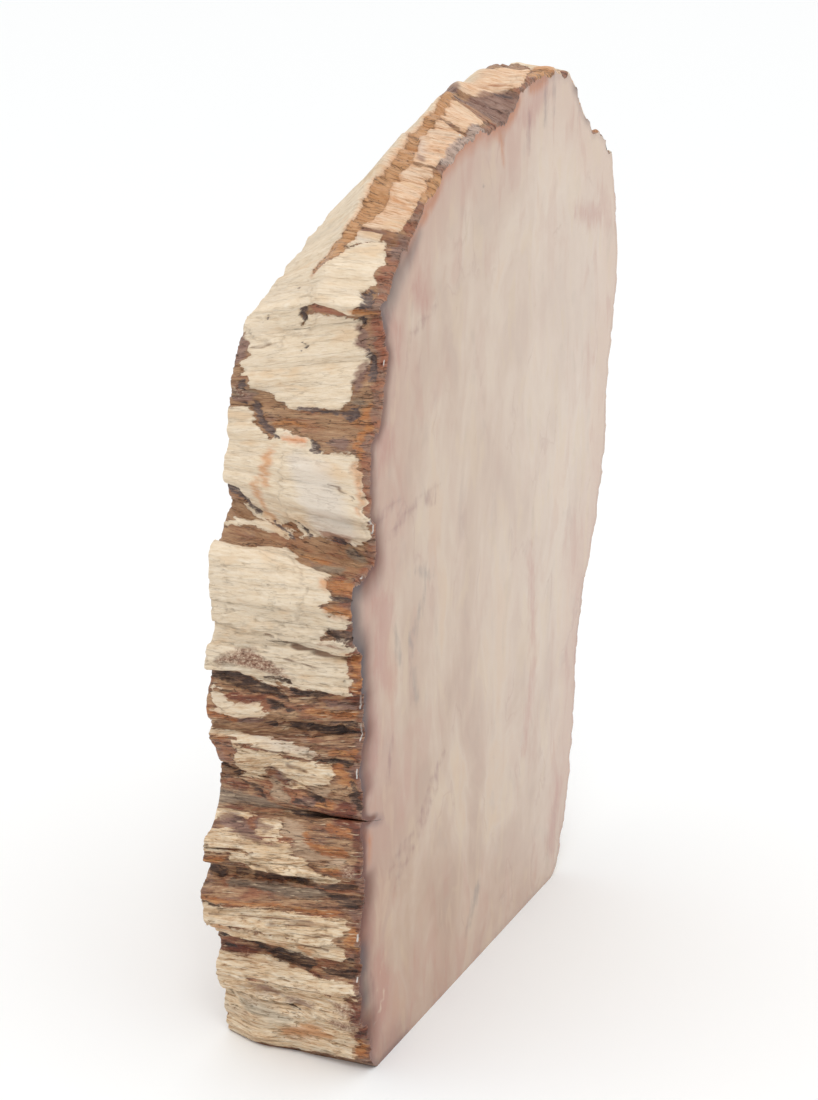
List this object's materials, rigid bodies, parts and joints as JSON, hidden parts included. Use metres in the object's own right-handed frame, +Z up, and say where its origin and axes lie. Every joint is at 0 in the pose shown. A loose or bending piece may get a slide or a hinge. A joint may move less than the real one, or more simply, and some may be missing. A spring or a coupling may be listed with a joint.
{
  "type": "petrified wood slice",
  "caption": "Thick upright slice of petrified wood: polished cross-cut face, rugged cream and brown rind, flat sawn base.",
  "frame": {"origin": "middle of the bounding box, at the flat sawn base that the slab stands on", "axes": "+Z up, +Y through the thickness from the polished face to the back, +X along the width to the right of a viewer who faces the polished face"},
  "size_m": [0.2052, 0.046, 0.2533],
  "materials": {
    "petrified_wood": "polished agatised wood on the sawn faces, weathered fibrous chalcedony with a matt cream crust on the rind"
  },
  "bodies": {
    "root": {"petrified_wood_slice": "petrified_wood"}
  },
  "joints": []
}
